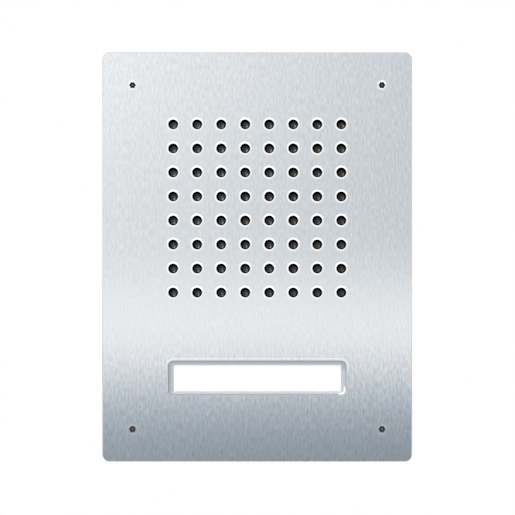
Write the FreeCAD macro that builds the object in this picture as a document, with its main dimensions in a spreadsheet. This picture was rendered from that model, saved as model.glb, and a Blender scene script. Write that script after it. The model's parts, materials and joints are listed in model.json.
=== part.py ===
import FreeCAD, Part
import math
import os
import re
import sys
import Sketcher

# Audio door station for flush mounting.
# Frame: +X to the right of a person standing in front, +Z up, +Y into the wall.
# Origin: centre of the cover plate, in the plane of the wall.
# Lengths in millimetres.

V = FreeCAD.Vector
C = Sketcher.Constraint
doc = FreeCAD.newDocument("DoorStation")

# ----------------------------------------------------------------- driving dimensions
CELLS = [
    # cover plate
    ("plate_w", 136.0), ("plate_h", 180.0), ("plate_t", 2.0), ("plate_r", 3.2),
    ("plate_edge", 0.4), ("gasket_t", 1.0),
    ("gasket_w", 133.0), ("gasket_h", 177.0), ("gasket_in_w", 124.0), ("gasket_in_h", 166.0),
    # corner fixing screws
    ("fix_w", 109.5), ("fix_h", 151.0), ("fix_hole_d", 3.4), ("sink_d", 5.76),
    ("screw_head_d", 5.7), ("screw_d", 2.9), ("screw_len", 16.0), ("lobe_depth", 1.2),
    # field of speaker holes
    ("hole_d", 4.35), ("hole_pitch", 10.55), ("chamfer_d", 5.9), ("chamfer_depth", 0.4), ("grille_z", 21.4),
    # button window
    ("win_w", 78.0), ("win_h", 15.2), ("win_r", 2.2), ("win_z", -53.0), ("win_lip", 0.3),
    # call button: a sloped frame just below the plate's face, a clear cap and the name strip under it
    ("bezel_w", 77.84), ("bezel_h", 15.04), ("bezel_r", 2.12), ("bezel_front", -2.9), ("bezel_rim", 0.2),
    ("cap_w", 73.7), ("cap_h", 11.8), ("cap_r", 0.5), ("cap_front", -1.95), ("cap_t", 0.9),
    ("label_w", 73.5), ("label_h", 11.6), ("label_t", 0.3), ("label_z", -53.25), ("label_back", -0.7),
    ("flange_w", 82.0), ("flange_h", 18.8), ("flange_t", 1.6), ("flange_r", 3.0),
    ("pin_x", 21.0), ("pin_d", 4.0), ("pin_end", 11.47), ("guide_d", 4.16), ("btn_travel", 1.3),
    ("spring_od", 6.2), ("spring_id", 5.0),
    # acoustic guard and cloth
    ("guard_w", 84.0), ("guard_r", 3.0), ("guard_back", 0.8), ("guard_web", -0.5),
    ("pad_d", 2.7), ("pad_front", -1.0), ("pad_dish", 0.12), ("pad_right", 0.15), ("pad_drop", 0.3),
    ("moat_d", 5.4), ("moat_depth", 0.75),
    ("vent_d", 2.4), ("cloth_t", 0.3),
    # module housing
    ("mod_front", 1.1), ("mod_wall", 2.0), ("mod_back", 25.0), ("mod_z", -1.0),
    ("mod_flange_w", 102.0), ("mod_flange_h", 138.0), ("lid_w", 87.0),
    ("well_w", 82.6), ("well_h", 19.4), ("well_floor", 9.5), ("well_back", 11.0),
    ("stud_w", 94.0), ("stud_low", -60.0), ("stud_h", 118.0), ("stud_d", 2.9), ("stud_end", 8.0),
    ("cover_t", 2.0), ("cover_low", -46.0), ("cover_fix_x", 38.4), ("cover_fix_low", -40.0),
    ("cover_fix_top", 58.9),
    # loudspeaker
    ("spk_open_d", 52.0), ("spk_r", 28.4), ("clamp_r", 33.0),
    # microphone behind the lower right hole
    ("mic_d", 6.0), ("boot_d", 8.6),
    # circuit board
    ("board_w", 70.0), ("board_h", 43.0), ("board_z", -41.5), ("board_y", 16.0), ("board_t", 1.6),
    ("board_fix_x", 31.5), ("board_fix_low", -60.0), ("board_fix_top", -24.0),
    ("pole_pitch", 5.0), ("poles", 8.0), ("term_z", -58.1), ("term_d", 9.0), ("term_h", 10.0),
    ("trim_z", -32.0), ("vol_x", -24.0), ("gain_x", -10.0),
    # flush box
    ("box_w", 122.0), ("box_h", 164.0), ("box_d", 45.0), ("box_wall", 2.0), ("box_r", 6.0),
    ("post_d", 9.0), ("insert_d", 4.2), ("insert_len", 8.0), ("entry_d", 20.5), ("entry_y", 24.0),
    ("wallfix_d", 4.5), ("wallfix_w", 60.0), ("wallfix_h", 100.0),
]
sheet = doc.addObject("Spreadsheet::Sheet", "dims")
for row, (alias, value) in enumerate(CELLS, 1):
    sheet.set("A%d" % row, alias)
    sheet.set("B%d" % row, repr(value))
    sheet.setAlias("B%d" % row, alias)
doc.recompute()
D = {alias: float(sheet.get(alias)) for alias, _ in CELLS}
WORD = re.compile(r"\b(" + "|".join(sorted(D, key=len, reverse=True)) + r")\b")


def num(expr):
    """Value of an expression over the sheet's aliases, for start geometry."""
    if isinstance(expr, (int, float)):
        return float(expr)
    total, sign, text = 0.0, 1.0, expr.replace(" ", "")
    for part in re.findall(r"[+-]?[^+-]+", text):
        sign = -1.0 if part[0] == "-" else 1.0
        value = 1.0
        for k, factor in enumerate(re.split(r"([*/])", part.lstrip("+-"))):
            if k % 2:
                op = factor
                continue
            f = D[factor] if factor in D else float(factor)
            value = f if k == 0 else (value * f if op == "*" else value / f)
        total += sign * value
    return total


def bind(obj, prop, expr):
    """Ties a property to the sheet, or sets it when it is a plain number."""
    if isinstance(expr, (int, float)):
        expr = repr(float(expr))
    obj.setExpression(prop, WORD.sub(lambda m: "dims." + m.group(1), expr))


def neg(expr):
    if isinstance(expr, (int, float)):
        return -float(expr)
    return "".join("-" + t[1:] if t[0] == "+" else "+" + t[1:] for t in
                   re.findall(r"[+-][^+-]+", (expr if expr[0] in "+-" else "+" + expr).replace(" ", "")))


def add(a, b):
    a = repr(float(a)) if isinstance(a, (int, float)) else a
    b = repr(float(b)) if isinstance(b, (int, float)) else b
    return a + (b if b[0] in "+-" else "+" + b)


bodies = []


def body(label):
    b = doc.addObject("PartDesign::Body", label)
    b.Label = label
    bodies.append(b)
    return b


def sketch(b, name, x=0.0, y=0.0, z=0.0, plane="XZ_Plane"):
    """A sketch whose own origin is at (x, y, z). Its axes are X,Z or X,Y or Y,Z."""
    s = b.newObject("Sketcher::SketchObject", name)
    s.AttachmentSupport = [([o for o in b.Origin.OriginFeatures if o.Role == plane][0], "")]
    s.MapMode = "FlatFace"
    order = {"XZ_Plane": (x, z, neg(y)), "XY_Plane": (x, y, z), "YZ_Plane": (y, z, x)}[plane]
    for axis, e in zip("xyz", order):
        bind(s, "AttachmentOffset.Base." + axis, e)
    return s


def named(s, constraint, name, expr):
    i = s.addConstraint(constraint)
    s.renameConstraint(i, name)
    bind(s, "Constraints." + name, expr)


def rect(w, h):
    def draw(s):
        a, b = num(w) / 2, num(h) / 2
        n = s.GeometryCount
        p = [V(-a, -b, 0), V(a, -b, 0), V(a, b, 0), V(-a, b, 0)]
        s.addGeometry([Part.LineSegment(p[i], p[(i + 1) % 4]) for i in range(4)], False)
        s.addConstraint([C("Coincident", n + i, 2, n + (i + 1) % 4, 1) for i in range(4)]
                        + [C("Horizontal", n), C("Vertical", n + 1), C("Horizontal", n + 2), C("Vertical", n + 3),
                           C("Symmetric", n, 1, n + 1, 2, -1, 1)])
        named(s, C("DistanceX", n, 1, n, 2, 2 * a), "width%d" % n, w)
        named(s, C("DistanceY", n + 1, 1, n + 1, 2, 2 * b), "height%d" % n, h)
    return draw


def rrect(w, h, r):
    def draw(s):
        a, b, q = num(w) / 2, num(h) / 2, num(r)
        n = s.GeometryCount

        def arc(cx, cy, a0, a1):
            return Part.ArcOfCircle(Part.Circle(V(cx, cy, 0), V(0, 0, 1), q), math.radians(a0), math.radians(a1))
        s.addGeometry([
            Part.LineSegment(V(-a + q, -b, 0), V(a - q, -b, 0)), Part.LineSegment(V(a, -b + q, 0), V(a, b - q, 0)),
            Part.LineSegment(V(a - q, b, 0), V(-a + q, b, 0)), Part.LineSegment(V(-a, b - q, 0), V(-a, -b + q, 0)),
            arc(a - q, -b + q, -90, 0), arc(a - q, b - q, 0, 90),
            arc(-a + q, b - q, 90, 180), arc(-a + q, -b + q, 180, 270)], False)
        con = []
        for i in range(4):
            con.append(C("Tangent", n + i, 2, n + 4 + i, 1))
            con.append(C("Tangent", n + 4 + i, 2, n + (i + 1) % 4, 1))
        con += [C("Horizontal", n), C("Vertical", n + 1), C("Horizontal", n + 2), C("Vertical", n + 3),
                C("Equal", n + 4, n + 5), C("Equal", n + 5, n + 6), C("Equal", n + 6, n + 7),
                C("Symmetric", n + 4, 3, n + 6, 3, -1, 1)]
        s.addConstraint(con)
        named(s, C("DistanceX", n + 3, 1, n + 1, 1, 2 * a), "width%d" % n, w)
        named(s, C("DistanceY", n, 1, n + 2, 1, 2 * b), "height%d" % n, h)
        named(s, C("Radius", n + 4, q), "corner%d" % n, r)
    return draw


def circle(d):
    def draw(s):
        n = s.addGeometry(Part.Circle(V(0, 0, 0), V(0, 0, 1), num(d) / 2), False)
        s.addConstraint(C("Coincident", n, 3, -1, 1))
        named(s, C("Diameter", n, num(d)), "bore%d" % n, d)
    return draw


def hexagon(across):
    def draw(s):
        r = num(across) / math.sqrt(3)
        n = s.GeometryCount
        p = [V(r * math.cos(math.radians(60 * i)), r * math.sin(math.radians(60 * i)), 0) for i in range(6)]
        s.addGeometry([Part.LineSegment(p[i], p[(i + 1) % 6]) for i in range(6)], False)
        s.addGeometry(Part.Circle(V(0, 0, 0), V(0, 0, 1), r), True)
        s.addConstraint([C("Coincident", n + i, 2, n + (i + 1) % 6, 1) for i in range(6)]
                        + [C("PointOnObject", n + i, 1, n + 6) for i in range(6)]
                        + [C("Equal", n + i, n + i + 1) for i in range(5)]
                        + [C("Coincident", n + 6, 3, -1, 1), C("PointOnObject", n, 1, -1)])
        named(s, C("Diameter", n + 6, 2 * r), "corners", "%s*1.1547005383792515" % across)
    return draw


def both(*parts):
    def draw(s):
        for p in parts:
            p(s)
    return draw


def outline(points):
    """A closed outline with its corners held in place by coordinates. Each point is (x, y) of expressions."""
    def draw(s):
        p = [V(num(x), num(y), 0) for x, y in points]
        k = len(p)
        s.addGeometry([Part.LineSegment(p[i], p[(i + 1) % k]) for i in range(k)], False)
        s.addConstraint([C("Coincident", i, 2, (i + 1) % k, 1) for i in range(k)])
        for i, (x, y) in enumerate(points):
            if abs(p[i].x) < 1e-9:
                s.addConstraint(C("PointOnObject", i, 1, -2))
            else:
                named(s, C("DistanceX", -1, 1, i, 1, p[i].x), "across%d" % i, x)
            if abs(p[i].y) < 1e-9:
                s.addConstraint(C("PointOnObject", i, 1, -1))
            else:
                named(s, C("DistanceY", -1, 1, i, 1, p[i].y), "up%d" % i, y)
    return draw


def tip_volume(b):
    doc.recompute()
    return b.Shape.Volume if b.Tip is not None and not b.Shape.isNull() else 0.0


def pad(b, name, draw, y0, y1, x=0.0, z=0.0):
    """Solid between the depths y0 and y1."""
    s = sketch(b, name + "_sketch", x, y1, z)
    draw(s)
    before = tip_volume(b)
    f = b.newObject("PartDesign::Pad", name)
    f.Profile = s
    bind(f, "Length", add(y1, neg(y0)))
    b.Tip = f
    if not tip_volume(b) > before + 1e-6:
        raise RuntimeError("pad adds nothing: " + name)
    f.Profile[0].Visibility = False
    return f, s


def cut(b, name, draw, y0, y1, x=0.0, z=0.0):
    """Removes what lies between the depths y0 and y1."""
    s = sketch(b, name + "_sketch", x, y0, z)
    draw(s)
    before = tip_volume(b)
    f = b.newObject("PartDesign::Pocket", name)
    f.Profile = s
    bind(f, "Length", add(y1, neg(y0)))
    b.Tip = f
    if not tip_volume(b) < before - 1e-6:
        raise RuntimeError("pocket removes nothing: " + name)
    return f, s


def side_cut(b, name, draw, plane, x, y, z, length, other_way=False):
    """A pocket from the XY or YZ plane."""
    s = sketch(b, name + "_sketch", x, y, z, plane)
    draw(s)
    before = tip_volume(b)
    f = b.newObject("PartDesign::Pocket", name)
    f.Profile = s
    f.Reversed = other_way
    bind(f, "Length", length)
    b.Tip = f
    if not tip_volume(b) < before - 1e-6:
        raise RuntimeError("pocket removes nothing: " + name)
    return f, s


def spin(b, name, points, z=0.0, x=0.0, y=0.0, remove=False, draw=None):
    """A profile of (depth, radius) turned about a line along Y through (x, z)."""
    s = sketch(b, name + "_sketch", x, y, z, "YZ_Plane")
    (draw or outline(points))(s)
    before = tip_volume(b)
    f = b.newObject("PartDesign::Groove" if remove else "PartDesign::Revolution", name)
    f.Profile = s
    f.ReferenceAxis = (s, ["H_Axis"])
    f.Angle = 360.0
    b.Tip = f
    after = tip_volume(b)
    if (after >= before) if remove else (after <= before):
        raise RuntimeError("revolved feature changes nothing: " + name)
    return f, s


def grid(b, name, of, s, nx, length_x, nz, length_z, whole=False):
    """Repeats features in two directions of a sketch, from its own place outwards."""
    f = b.newObject("PartDesign::LinearPattern", name)
    if whole:
        f.TransformMode = "Whole shape"
    else:
        f.Originals = of
    f.Direction = (s, ["H_Axis"])
    bind(f, "Length", length_x)
    f.Occurrences = nx
    if nz > 1:
        f.Direction2 = (s, ["V_Axis"])
        bind(f, "Length2", length_z)
        f.Occurrences2 = nz
    b.Tip = f
    before = b.Shape.Volume
    doc.recompute()
    return f


def around(b, name, of, s, count, whole=False):
    f = b.newObject("PartDesign::PolarPattern", name)
    if whole:
        f.TransformMode = "Whole shape"
    else:
        f.Originals = of
    f.Axis = (s, ["N_Axis"])
    f.Angle = 360.0
    f.Occurrences = count
    b.Tip = f
    doc.recompute()
    return f


def round_edges(b, name, radius, pick, kind="PartDesign::Fillet"):
    """Fillets or chamfers the edges of the tip that pick() accepts."""
    base = b.Tip
    doc.recompute()
    names = ["Edge%d" % (i + 1) for i, e in enumerate(base.Shape.Edges) if pick(e)]
    if not names:
        raise RuntimeError("no edges for " + name)
    f = b.newObject(kind, name)
    f.Base = (base, names)
    bind(f, "Size" if kind.endswith("Chamfer") else "Radius", radius)
    b.Tip = f
    doc.recompute()
    return f


def in_plane_y(e, y):
    bb = e.BoundBox
    return abs(bb.YMin - y) < 1e-5 and abs(bb.YMax - y) < 1e-5


def is_circle(e, r):
    return e.Curve.TypeId == "Part::GeomCircle" and abs(e.Curve.Radius - r) < 1e-5


FACE = "-gasket_t-plate_t"      # front of the plate
BACK = "-gasket_t"              # back of the plate
SPK = "grille_z"                # height of the loudspeaker axis

# ----------------------------------------------------------------- cover plate
b = body("cover_plate")
pad(b, "plate_blank", rrect("plate_w", "plate_h", "plate_r"), FACE, BACK)
cut(b, "button_window", rrect("win_w", "win_h", "win_r"), FACE, BACK, z="win_z")
f, s = cut(b, "sound_hole", circle("hole_d"), FACE, BACK, x="-hole_pitch*3.5", z="grille_z-hole_pitch*3.5")
# a flat chamfer round each hole
f2 = spin(b, "hole_chamfer", [("0", "0"), ("0", "chamfer_d/2"), ("chamfer_depth", "hole_d/2"), ("chamfer_depth", "0")],
          x="-hole_pitch*3.5", z="grille_z-hole_pitch*3.5", y=FACE, remove=True)[0]
grid(b, "sound_holes", [f, f2], s, 8, "hole_pitch*7", 8, "hole_pitch*7")
s = sketch(b, "fixing_sketch", "-fix_w/2", FACE, "-fix_h/2")
circle("fix_hole_d")(s)
doc.recompute()
f = b.newObject("PartDesign::Hole", "fixing_hole")
f.Profile = s
doc.recompute()
f.DepthType = "ThroughAll"
bind(f, "Diameter", "fix_hole_d")
f.HoleCutType = "Countersink"
f.HoleCutCustomValues = True
bind(f, "HoleCutDiameter", "sink_d")
f.HoleCutCountersinkAngle = 90
b.Tip = f
doc.recompute()
grid(b, "fixing_holes", [f], s, 2, "fix_w", 2, "fix_h")
yf = num(FACE)
round_edges(b, "edge_round", "plate_edge",
            lambda e: in_plane_y(e, yf) and (abs(e.CenterOfMass.x) > D["plate_w"] / 2 - 3 or abs(e.CenterOfMass.z) > D["plate_h"] / 2 - 3)
            and not is_circle(e, D["sink_d"] / 2))
round_edges(b, "window_lip", "win_lip",
            lambda e: in_plane_y(e, yf) and abs(e.CenterOfMass.x) < D["win_w"] / 2 + 0.1 and abs(e.CenterOfMass.z - D["win_z"]) < D["win_h"] / 2 + 0.1)

# ----------------------------------------------------------------- weld studs on the back of the plate
b = body("plate_studs")
f, s = pad(b, "weld_foot", circle(4.5), BACK, BACK + "+0.7", x="-stud_w/2", z="stud_low")
pad(b, "thread", circle("stud_d"), BACK + "+0.7", "stud_end", x="-stud_w/2", z="stud_low")
round_edges(b, "thread_lead", 0.3, lambda e: in_plane_y(e, D["stud_end"]), "PartDesign::Chamfer")
grid(b, "four_studs", None, s, 2, "stud_w", 2, "stud_h", whole=True)

b = body("stud_washers")
f, s = pad(b, "washer", both(circle(7.0), circle(3.2)), "mod_front+mod_wall", "mod_front+mod_wall+0.5", x="-stud_w/2", z="stud_low")
grid(b, "four_washers", None, s, 2, "stud_w", 2, "stud_h", whole=True)

b = body("stud_nuts")
f, s = pad(b, "nut", both(hexagon(5.5)), "mod_front+mod_wall+0.5", "mod_front+mod_wall+2.9", x="-stud_w/2", z="stud_low")
cut(b, "nut_bore", circle(3.0), "mod_front+mod_wall+0.5", "mod_front+mod_wall+2.9", x="-stud_w/2", z="stud_low")
grid(b, "four_nuts", None, s, 2, "stud_w", 2, "stud_h", whole=True)

# ----------------------------------------------------------------- foam gasket between plate and wall
b = body("plate_gasket")
pad(b, "gasket_sheet", rrect("gasket_w", "gasket_h", 4.0), BACK, 0.0)
cut(b, "gasket_opening", rrect("gasket_in_w", "gasket_in_h", 6.5), BACK, 0.0)

# ----------------------------------------------------------------- countersunk screws, six-lobe recess with a pin
b = body("plate_screws")
h2, s2 = "screw_head_d/2", "screw_d/2"
f, s = spin(b, "screw_blank", [
    ("0", "0"), ("0", h2), ("0.02", h2), ("0.02+screw_head_d/2-screw_d/2", s2),
    ("screw_len-0.4", s2), ("screw_len", "screw_d/2-0.4"), ("screw_len", "0")],
    z="-fix_h/2", x="-fix_w/2", y=FACE)
# the mouth of the recess is pressed in as a shallow cone
spin(b, "recess_mouth", [("0", "0"), ("0", "1.98"), ("0.22", "1.5"), ("0.22", "0")],
     z="-fix_h/2", x="-fix_w/2", y=FACE, remove=True)
cut(b, "recess_core", circle(2.4), FACE + "+0.22", FACE + "+lobe_depth", x="-fix_w/2", z="-fix_h/2")
axis = sketch(b, "recess_axis", "-fix_w/2", FACE, "-fix_h/2")
circle(0.5)(axis)
for g in range(axis.GeometryCount):
    axis.setConstruction(g, True)
f, s = cut(b, "lobe", circle(0.8), FACE + "+0.22", FACE + "+lobe_depth", x="-fix_w/2+1.08", z="-fix_h/2")
around(b, "lobes", [f], axis, 6)
pad(b, "centre_pin", circle(0.95), FACE + "+0.3", FACE + "+lobe_depth", x="-fix_w/2", z="-fix_h/2")
grid(b, "four_screws", None, axis, 2, "fix_w", 2, "fix_h", whole=True)

# ----------------------------------------------------------------- black guard behind the sound holes
b = body("poke_guard")
pad(b, "guard_blank", rrect("guard_w", "guard_w", "guard_r"), BACK, "guard_back", z=SPK)
cut(b, "guard_recess", rrect("guard_w-3.6", "guard_w-3.6", "guard_r-1.5"), BACK, "guard_web", z=SPK)
# behind each hole stands a round pad with a dished top, in a ring-shaped moat that lets the sound past;
# the moulding sits a little low and to the right of the holes
corner = {"z": "grille_z-hole_pitch*3.5-pad_drop", "x": "-hole_pitch*3.5+pad_right", "y": "guard_web"}
moat, s = spin(b, "moat", [("0", "pad_d/2"), ("0", "moat_d/2"), ("moat_depth*0.6", "moat_d/2"),
                           ("moat_depth", "moat_d/2-0.5"), ("moat_depth", "pad_d/2")], remove=True, **corner)


def dished(s):
    top, rim, r = D["pad_front"] - D["guard_web"], 0.12, D["pad_d"] / 2
    c, h = r - rim, D["pad_dish"]
    ball = (c * c + h * h) / (2 * h)

    def depth(q):
        return top + h - ball + math.sqrt(ball * ball - q * q)
    s.addGeometry([
        Part.LineSegment(V(0.2, 0, 0), V(0.2, r, 0)), Part.LineSegment(V(0.2, r, 0), V(top, r, 0)),
        Part.LineSegment(V(top, r, 0), V(top, c, 0)), Part.Arc(V(top, c, 0), V(depth(c / 2), c / 2, 0), V(depth(0), 0, 0)),
        Part.LineSegment(V(depth(0), 0, 0), V(0.2, 0, 0))], False)


stop, s = spin(b, "stop_pad", None, draw=dished, **corner)
axis = sketch(b, "grid_axes", "-hole_pitch*3.5+pad_right", "guard_web", "grille_z-hole_pitch*3.5-pad_drop")
circle(0.5)(axis)
axis.setConstruction(0, True)
grid(b, "stop_pads", [moat, stop], axis, 8, "hole_pitch*7", 8, "hole_pitch*7")
f, s = cut(b, "sound_vent", circle("vent_d"), "guard_web", "guard_back", x="-hole_pitch*3", z="grille_z-hole_pitch*3")
grid(b, "sound_vents", [f], s, 7, "hole_pitch*6", 7, "hole_pitch*6")

b = body("speaker_membrane")
pad(b, "cloth", rrect("guard_w", "guard_w", "guard_r"), "guard_back", "guard_back+cloth_t", z=SPK)

# ----------------------------------------------------------------- call button
b = body("button_cap")
pad(b, "cap_sheet", rrect("cap_w", "cap_h", "cap_r"), "cap_front", "cap_front+cap_t", z="label_z")
round_edges(b, "cap_edge_round", 0.1, lambda e: in_plane_y(e, D["cap_front"]))

b = body("button_label")
pad(b, "strip", rect("label_w", "label_h"), "label_back-label_t", "label_back", z="label_z")

b = body("button_carrier")
pad(b, "flange", rrect("flange_w", "flange_h", "flange_r"), 0.0, "flange_t", z="win_z")
pad(b, "neck", rrect("bezel_w", "bezel_h", "bezel_r"), "bezel_front", 0.0, z="win_z")
round_edges(b, "bezel_edge", 0.12, lambda e: in_plane_y(e, D["bezel_front"]))
# the frame slopes down from its rim to the cap on all four sides
lo = sketch(b, "slope_top", 0.0, "bezel_front", "win_z")
rrect("bezel_w-bezel_rim*2", "bezel_h-bezel_rim*2", "bezel_r-bezel_rim")(lo)
hi = sketch(b, "slope_foot", 0.0, "cap_front", "label_z")
rrect("cap_w+0.1", "cap_h+0.1", "cap_r+0.05")(hi)
before = tip_volume(b)
f = b.newObject("PartDesign::SubtractiveLoft", "bevel")
f.Profile = lo
f.Sections = [(hi, "")]
f.Ruled = True
b.Tip = f
if not tip_volume(b) < before - 1:
    raise RuntimeError("bevel removes nothing")
cut(b, "cap_seat", rrect("cap_w+0.1", "cap_h+0.1", "cap_r+0.05"), "cap_front", "cap_front+cap_t", z="label_z")
cut(b, "strip_seat", rect("label_w+0.1", "label_h+0.1"), "cap_front+cap_t", "label_back", z="label_z")
# light windows behind the strip, between the two pins
cut(b, "light_window_middle", rrect(34.0, 8.4, 1.0), "label_back", "flange_t", z="label_z")
f, s = cut(b, "light_window_side", rrect(10.0, 8.4, 1.0), "label_back", "flange_t", x=-30.5, z="label_z")
grid(b, "light_windows", [f], s, 2, 61.0, 1, 0)
f, s = pad(b, "pin", circle("pin_d"), "flange_t", "pin_end", x="-pin_x", z="win_z")
grid(b, "pins", [f], s, 2, "pin_x*2", 1, 0)
# the noses are tapered, so that they enter the switches' openings at full travel
round_edges(b, "pin_ends", 0.7, lambda e: in_plane_y(e, D["pin_end"]), "PartDesign::Chamfer")

b = body("button_seal")
pad(b, "seal_ring", rrect(84.0, 20.8, 4.0), BACK, -0.05, z="win_z")
cut(b, "seal_opening", rrect(80.0, 16.8, 2.6), BACK, -0.05, z="win_z")

b = body("button_springs")
f, s = pad(b, "spring", both(circle("spring_od"), circle("spring_id")), "flange_t", "well_floor", x="-pin_x", z="win_z")
grid(b, "two_springs", None, s, 2, "pin_x*2", 1, 0, whole=True)

b = body("call_switches")
f, s = pad(b, "switch_body", rrect(6.2, 6.2, 0.4), "board_y-3.5", "board_y", x="-pin_x", z="win_z")
cut(b, "switch_bore", circle(3.52), "board_y-3.5", "board_y-0.8", x="-pin_x", z="win_z")
grid(b, "two_switches", None, s, 2, "pin_x*2", 1, 0, whole=True)
for label, sign in (("left_switch_plunger", "-"), ("right_switch_plunger", "")):
    b = body(label)
    pad(b, "plunger", circle(3.4), "pin_end+0.03", "pin_end+2.03", x=sign + "pin_x", z="win_z")
    round_edges(b, "plunger_edge", 0.3, lambda e: in_plane_y(e, D["pin_end"] + 0.03), "PartDesign::Chamfer")

# ----------------------------------------------------------------- module housing: a front wall that carries all the inner pieces
MIC_X, MIC_Z = "hole_pitch*3.5", "grille_z-hole_pitch*3.5"
WALL = "mod_front+mod_wall"
b = body("module_housing")
pad(b, "front_wall", rrect("mod_flange_w", "mod_flange_h", 4.0), "mod_front", WALL, z="mod_z")
pad(b, "well_block", rect(85.0, 22.6), WALL, "well_back", z="win_z-0.1")
cut(b, "well_room", rrect("well_w", "well_h", 3.2), "mod_front", "well_floor", z="win_z")
f, s = pad(b, "guide_boss", circle(7.0), "well_back", "well_back+1", x="-pin_x", z="win_z")
grid(b, "guide_bosses", [f], s, 2, "pin_x*2", 1, 0)
f, s = cut(b, "guide_hole", circle("guide_d"), "well_floor", "well_back+1", x="-pin_x", z="win_z")
grid(b, "guide_holes", [f], s, 2, "pin_x*2", 1, 0)
f, s = cut(b, "light_hole", circle(5.2), "well_floor", "well_back", x=-30.0, z="win_z")
f2, s2_ = cut(b, "light_hole_inner", circle(5.2), "well_floor", "well_back", x=-10.0, z="win_z")
grid(b, "light_holes_outer", [f], s, 2, 60.0, 1, 0)
grid(b, "light_holes_inner", [f2], s2_, 2, 20.0, 1, 0)
f, s = pad(b, "board_boss_low", circle(5.6), "well_back", "board_y", x="-board_fix_x", z="board_fix_low")
grid(b, "board_bosses_low", [f], s, 2, "board_fix_x*2", 1, 0)
f, s = pad(b, "board_boss_top", circle(5.6), WALL, "board_y", x="-board_fix_x", z="board_fix_top")
grid(b, "board_bosses_top", [f], s, 2, "board_fix_x*2", 1, 0)
f, s = cut(b, "board_pilot", circle(2.2), "board_y-5.5", "board_y", x="-board_fix_x", z="board_fix_low")
grid(b, "board_pilots", [f], s, 2, "board_fix_x*2", 2, "board_fix_top-board_fix_low")
f, s = pad(b, "cover_boss", circle(6.0), WALL, "mod_back", x="-cover_fix_x", z="cover_fix_low")
grid(b, "cover_bosses", [f], s, 2, "cover_fix_x*2", 2, "cover_fix_top-cover_fix_low")
f, s = cut(b, "cover_pilot", circle(2.2), "mod_back-9.5", "mod_back", x="-cover_fix_x", z="cover_fix_low")
grid(b, "cover_pilots", [f], s, 2, "cover_fix_x*2", 2, "cover_fix_top-cover_fix_low")
pad(b, "speaker_rim", both(circle(62.0), circle(57.6)), WALL, WALL + "+1.8", z=SPK)
axis = sketch(b, "speaker_axis", 0.0, WALL, SPK)
circle(0.5)(axis)
axis.setConstruction(0, True)
f, s = pad(b, "clamp_boss", circle(6.0), WALL, WALL + "+1.8", z="grille_z+clamp_r")
around(b, "clamp_bosses", [f], axis, 3)
f, s = cut(b, "clamp_pilot", circle(2.2), "mod_front+0.5", WALL + "+1.8", z="grille_z+clamp_r")
around(b, "clamp_pilots", [f], axis, 3)
cut(b, "speaker_opening", circle("spk_open_d"), "mod_front", WALL, z=SPK)
pad(b, "mic_boss", circle(11.6), WALL, "mod_front+6.9", x=MIC_X, z=MIC_Z)
cut(b, "mic_bore", circle("boot_d+0.2"), "mod_front", "mod_front+6.9", x=MIC_X, z=MIC_Z)
f, s = pad(b, "stud_boss", circle(7.0), BACK, "mod_front", x="-stud_w/2", z="stud_low")
grid(b, "stud_bosses", [f], s, 2, "stud_w", 2, "stud_h")
f, s = cut(b, "stud_hole", circle(3.4), BACK, WALL, x="-stud_w/2", z="stud_low")
f2, s2_ = cut(b, "stud_foot_room", circle(5.2), BACK, BACK + "+0.8", x="-stud_w/2", z="stud_low")
grid(b, "stud_holes", [f, f2], s, 2, "stud_w", 2, "stud_h")

# ----------------------------------------------------------------- module cover: a deep lid over the loudspeaker, open at the terminals
b = body("module_cover")
pad(b, "lid", rrect("lid_w", "64-cover_low", 3.0), WALL, "mod_back+cover_t", z="cover_low/2+32")
cut(b, "lid_room", rrect("lid_w-4", "62-cover_low-1.4", 2.0), WALL, "mod_back", z="31.7+cover_low/2")
# the lower wall stops behind the circuit board, and the side walls step over the button's well
cut(b, "board_slot", rect("lid_w+4", 4.6), WALL, "board_y+board_t+0.6", z="cover_low+2.2")
# room for the microphone's seat in the right wall
cut(b, "mic_notch", rect(4.0, 12.8), WALL, "mod_front+7.3", x="lid_w/2-1", z=MIC_Z)
f, s = cut(b, "cover_hole", circle(2.6), "mod_back", "mod_back+cover_t", x="-cover_fix_x", z="cover_fix_low")
grid(b, "cover_holes", [f], s, 2, "cover_fix_x*2", 2, "cover_fix_top-cover_fix_low")
cut(b, "volume_access", circle(4.6), "mod_back", "mod_back+cover_t", x="vol_x", z="trim_z")
cut(b, "gain_access", circle(4.6), "mod_back", "mod_back+cover_t", x="gain_x", z="trim_z")
f, s = cut(b, "back_vent", rrect(1.8, 22.0, 0.8), "mod_back", "mod_back+cover_t", x=-17.5, z=SPK)
grid(b, "back_vents", [f], s, 8, 35.0, 1, 0)
round_edges(b, "cover_edge", 0.5, lambda e: in_plane_y(e, D["mod_back"] + D["cover_t"]) and abs(e.CenterOfMass.x) + 3 > D["lid_w"] / 2 or
            (in_plane_y(e, D["mod_back"] + D["cover_t"]) and (e.CenterOfMass.z > 62 or e.CenterOfMass.z < D["cover_low"] + 1)))


def pan_screw(label, head_y, length, x, z, head_d=4.2, head_h=1.4, shank_d=2.1, grid_args=None, polar=None):
    """Pan head screws with a cross recess, head on the +Y side."""
    b = body(label)
    s0 = pad(b, "shank", circle(shank_d), add(head_y, -length), head_y, x=x, z=z)[1]
    pad(b, "head", circle(head_d), head_y, add(head_y, head_h), x=x, z=z)
    yh = num(head_y) + head_h
    round_edges(b, "head_round", 0.4, lambda e: in_plane_y(e, yh))
    cut(b, "cross", rect(2.4, 0.55), add(head_y, head_h - 0.8), add(head_y, head_h), x=x, z=z)
    cut(b, "cross_other", rect(0.55, 2.4), add(head_y, head_h - 0.8), add(head_y, head_h), x=x, z=z)
    if grid_args:
        grid(b, "repeated", None, s0, *grid_args, whole=True)
    if polar:
        ax = sketch(b, "ring_axis", 0.0, head_y, polar)
        circle(0.5)(ax)
        ax.setConstruction(0, True)
        around(b, "repeated", None, ax, 3, whole=True)
    return b


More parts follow.
